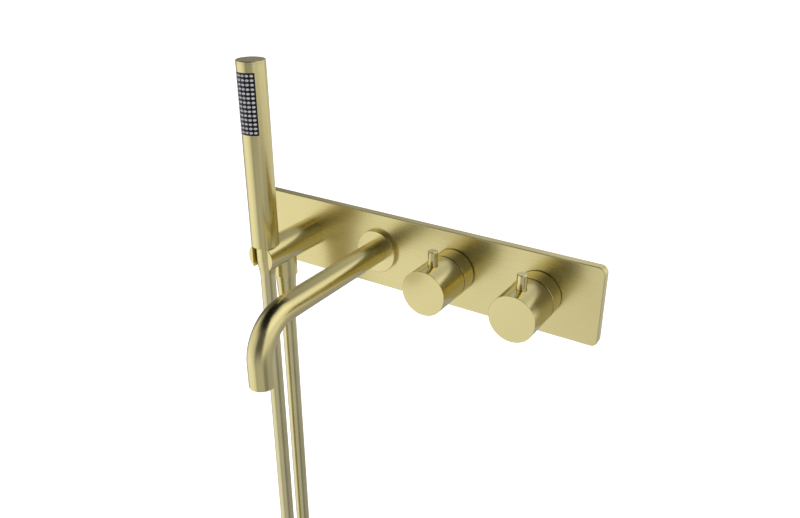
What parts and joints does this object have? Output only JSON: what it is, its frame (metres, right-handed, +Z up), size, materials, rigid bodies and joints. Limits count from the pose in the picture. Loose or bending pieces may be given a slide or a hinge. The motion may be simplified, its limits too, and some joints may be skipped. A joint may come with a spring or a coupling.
{
  "type": "wall mounted bath faucet",
  "caption": "Wall mounted bath filler: rectangular face plate with a bent spout, lever knobs for flow and temperature, and a stick handset in a fork, on its hose.",
  "frame": {"origin": "centre of the face plate's rear face, on the surface of the wall", "axes": "+Y into the wall, -Y into the room, +Z up, +X to the right as seen from the room"},
  "size_m": [0.3534, 0.2314, 0.7905],
  "materials": {
    "brushed_gold": "brushed pale gold, fine horizontal grain",
    "raw_brass": "machined brass",
    "steel": "zinc plated or stainless steel",
    "seal_rubber": "matt black rubber",
    "valve_plastic": "moulded engineering plastic",
    "ceramic_disc": "lapped ceramic",
    "hose_skin": "smooth satin gold sleeve",
    "black_plastic": "satin black",
    "nozzle_silicone": "light grey silicone"
  },
  "bodies": {
    "root": {"backplate": "brushed_gold", "diverter_collar": "brushed_gold", "temperature_collar": "brushed_gold", "spout_flange": "brushed_gold", "spout_tube": "brushed_gold", "holder_arm": "brushed_gold", "hose_outlet_collar": "brushed_gold", "hose_rear_nut": "brushed_gold", "valve_body": "raw_brass", "gallery_plugs": "raw_brass", "hot_inlet_union": "raw_brass", "cold_inlet_union": "raw_brass", "diverter_retaining_nut": "raw_brass", "thermostat_retaining_nut": "raw_brass", "spout_nipple": "raw_brass", "holder_nipple": "raw_brass", "hose_rear_ferrule": "raw_brass", "mounting_bracket": "steel", "bracket_screws": "steel", "spout_grub_screw": "steel", "inlet_filters": "steel", "wall_gasket": "seal_rubber", "collar_seals": "seal_rubber", "cartridge_o_rings": "seal_rubber", "collar_o_rings": "seal_rubber", "spout_o_rings": "seal_rubber", "holder_o_rings": "seal_rubber", "hose_rear_washer": "seal_rubber", "aerator_washer": "seal_rubber", "check_valves": "valve_plastic", "diverter_cartridge_housing": "valve_plastic", "thermostat_cartridge_housing": "valve_plastic", "aerator_housing": "valve_plastic", "aerator_insert": "valve_plastic", "diverter_fixed_disc": "ceramic_disc", "shower_hose": "hose_skin", "knob_slip_washers": "black_plastic"},
    "diverter": {"diverter_moving_disc": "ceramic_disc", "diverter_spindle": "raw_brass", "diverter_knob": "brushed_gold", "diverter_knob_adapter": "valve_plastic", "diverter_knob_pin": "brushed_gold", "diverter_grub_screw": "steel"},
    "temperature": {"thermostat_spindle": "raw_brass", "temperature_knob": "brushed_gold", "temperature_knob_adapter": "valve_plastic", "temperature_knob_pin": "brushed_gold", "temperature_grub_screw": "steel"},
    "regulator": {"thermostat_element": "raw_brass", "thermostat_piston": "valve_plastic"},
    "hose_end": {"hose_front_ferrule": "raw_brass"},
    "handset": {"handset_nut": "brushed_gold", "handset_washer": "seal_rubber", "handset_connector": "raw_brass", "flow_limiter": "valve_plastic", "handset_tube": "brushed_gold", "handset_cap": "brushed_gold", "spray_insert": "black_plastic", "spray_nozzles": "nozzle_silicone", "handset_waterway": "valve_plastic"}
  },
  "joints": [
    {"name": "diverter_turn", "type": "hinge", "parent": "root", "child": "diverter", "pos_m": [0.04, 0, 0], "axis": [0, -1, 0], "range_deg": [-90, 90]},
    {"name": "temperature_turn", "type": "hinge", "parent": "root", "child": "temperature", "pos_m": [0.12, 0, 0], "axis": [0, -1, 0], "range_deg": [-90, 180]},
    {"name": "thermostat_slide", "type": "slide", "parent": "root", "child": "regulator", "axis": [0, 1, 0], "range_m": [-0.0008, 0.0016]},
    {"name": "handset_lift", "type": "slide", "parent": "root", "child": "hose_end", "axis": [0, 0, 1], "range_m": [0, 0.06], "deforming": ["shower_hose"]},
    {"name": "handset_swivel", "type": "hinge", "parent": "hose_end", "child": "handset", "pos_m": [-0.12, -0.0719, 0], "axis": [0, 0, 1], "continuous": true}
  ],
  "couplings": [
    {"joint": "thermostat_slide", "follows": "temperature_turn", "m_per_rad": 0.00047746}
  ]
}
